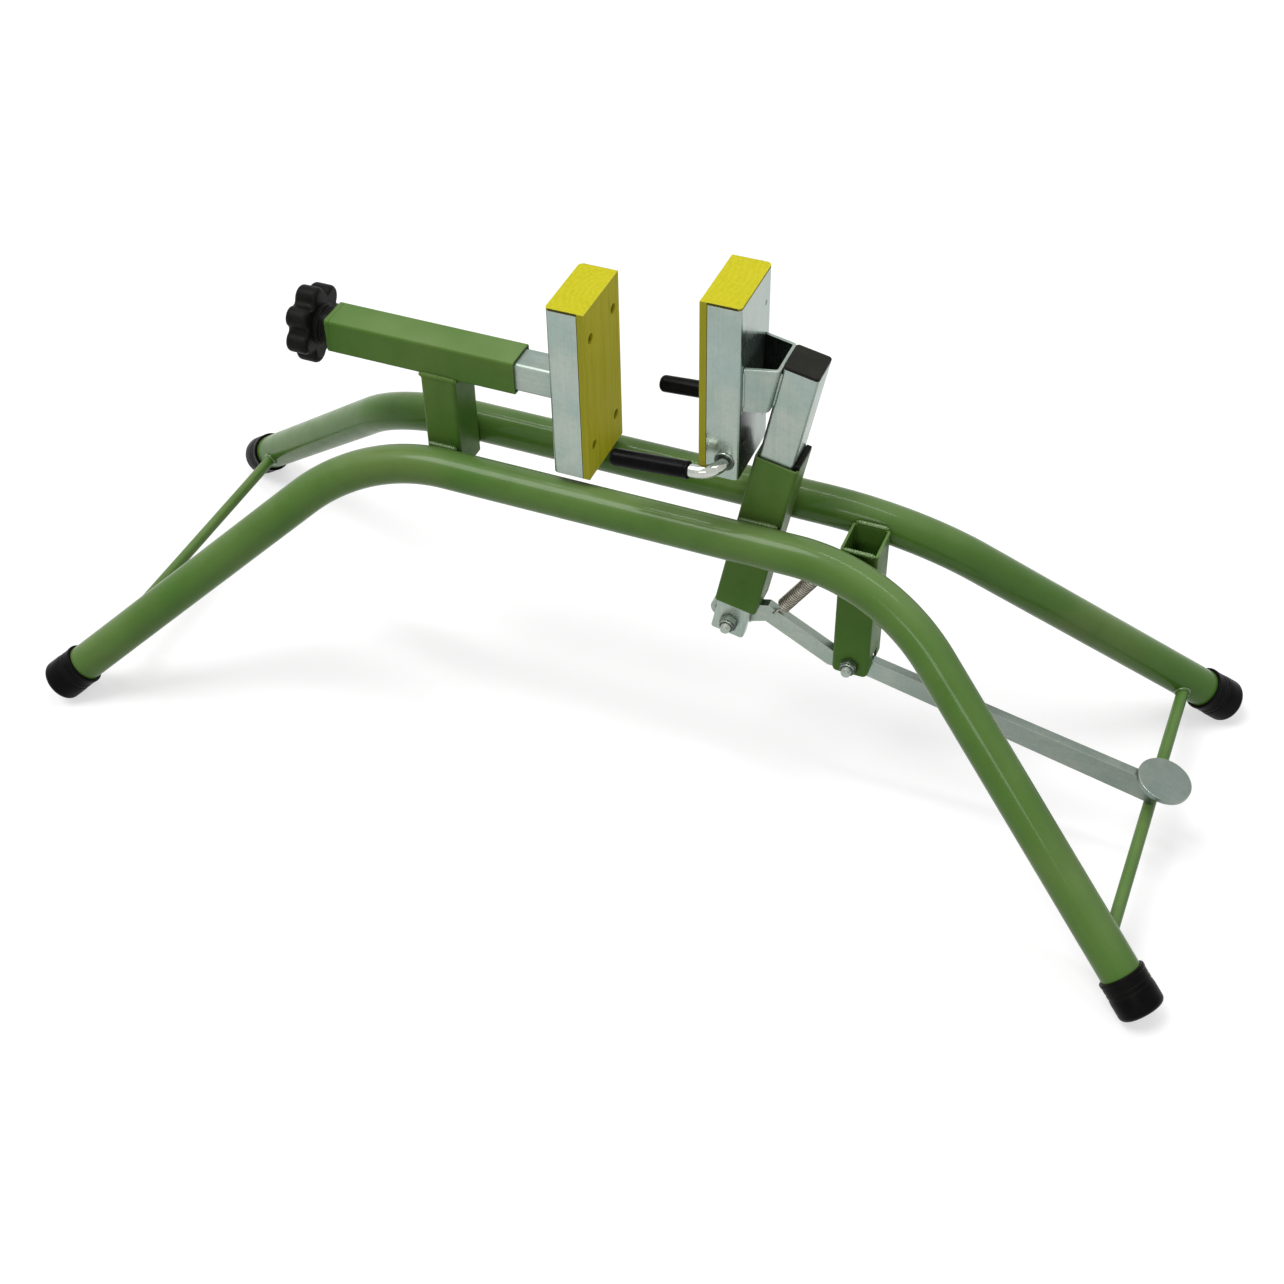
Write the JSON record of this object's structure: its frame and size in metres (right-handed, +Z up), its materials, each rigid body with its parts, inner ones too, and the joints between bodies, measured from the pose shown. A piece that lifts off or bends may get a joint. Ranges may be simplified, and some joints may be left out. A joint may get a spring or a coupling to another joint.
{
  "type": "door jack",
  "caption": "Tubular floor stand that holds a door on edge between two padded jaws, one fed by a screw and one moved by a foot pedal.",
  "frame": {"origin": "on the floor, midway between the four feet", "axes": "+X along the pipes toward the foot pedal, +Y across the pipes to the rear, +Z up"},
  "size_m": [0.9754, 0.3792, 0.4475],
  "materials": {
    "green_paint": "semi-gloss",
    "zinc_plate": "zinc-plated, satin",
    "chrome_rod": "polished",
    "spring_wire": "oiled",
    "yellow_pad": "painted, matt",
    "black_rubber": "matt",
    "black_plastic": "matt",
    "black_vinyl": "satin"
  },
  "bodies": {
    "frame": {"front_pipe": "green_paint", "rear_pipe": "green_paint", "left_brace": "green_paint", "right_brace": "green_paint", "foot_cap_front_left": "black_rubber", "foot_cap_front_right": "black_rubber", "foot_cap_rear_left": "black_rubber", "foot_cap_rear_right": "black_rubber", "left_post": "green_paint", "guide_tube": "green_paint", "guide_end_plate": "green_paint", "inclined_sleeve": "green_paint", "wear_strip": "black_plastic", "pivot_post": "green_paint", "spring_eye": "green_paint", "pivot_bolt": "zinc_plate", "pivot_nut": "zinc_plate", "return_spring": "spring_wire"},
    "left_jaw": {"slide_tube": "zinc_plate", "spindle_nut": "zinc_plate", "left_jaw_channel": "zinc_plate", "left_jaw_pad": "yellow_pad", "left_pad_screws": "zinc_plate"},
    "knob": {"spindle": "zinc_plate", "star_knob": "black_plastic"},
    "carriage": {"right_jaw_channel": "zinc_plate", "right_jaw_pad": "yellow_pad", "right_pad_screws": "zinc_plate", "jaw_bracket": "zinc_plate", "carriage_tube": "zinc_plate", "tube_plug": "black_plastic", "rest_rod": "chrome_rod", "rod_washers": "zinc_plate", "front_rod_sleeve": "black_vinyl", "rear_rod_sleeve": "black_vinyl", "link_bolt": "zinc_plate", "link_nut": "zinc_plate"},
    "lever": {"pedal_lever": "zinc_plate", "pedal_disc": "zinc_plate"}
  },
  "joints": [
    {"name": "left_jaw_slide", "type": "slide", "parent": "frame", "child": "left_jaw", "axis": [1, 0, 0], "range_m": [-0.03, 0.055]},
    {"name": "knob_turn", "type": "hinge", "parent": "frame", "child": "knob", "pos_m": [-0.26, 0, 0.32802], "axis": [1, 0, 0], "range_deg": [-2702, 4952]},
    {"name": "carriage_slide", "type": "slide", "parent": "frame", "child": "carriage", "axis": [-0.1942, 0, -0.981], "range_m": [0, 0.04], "stiffness_N_per_m": 500, "springref_m": -0.08},
    {"name": "pedal_swing", "type": "hinge", "parent": "frame", "child": "lever", "pos_m": [0.192, 0, 0.12752], "axis": [0, -1, 0], "range_deg": [0, 20.42], "deforming": ["return_spring"]}
  ],
  "couplings": [
    {"joint": "knob_turn", "follows": "left_jaw_slide", "rad_per_m": 1570.8},
    {"joint": "pedal_swing", "follows": "carriage_slide", "rad_per_m": 8.8893}
  ]
}
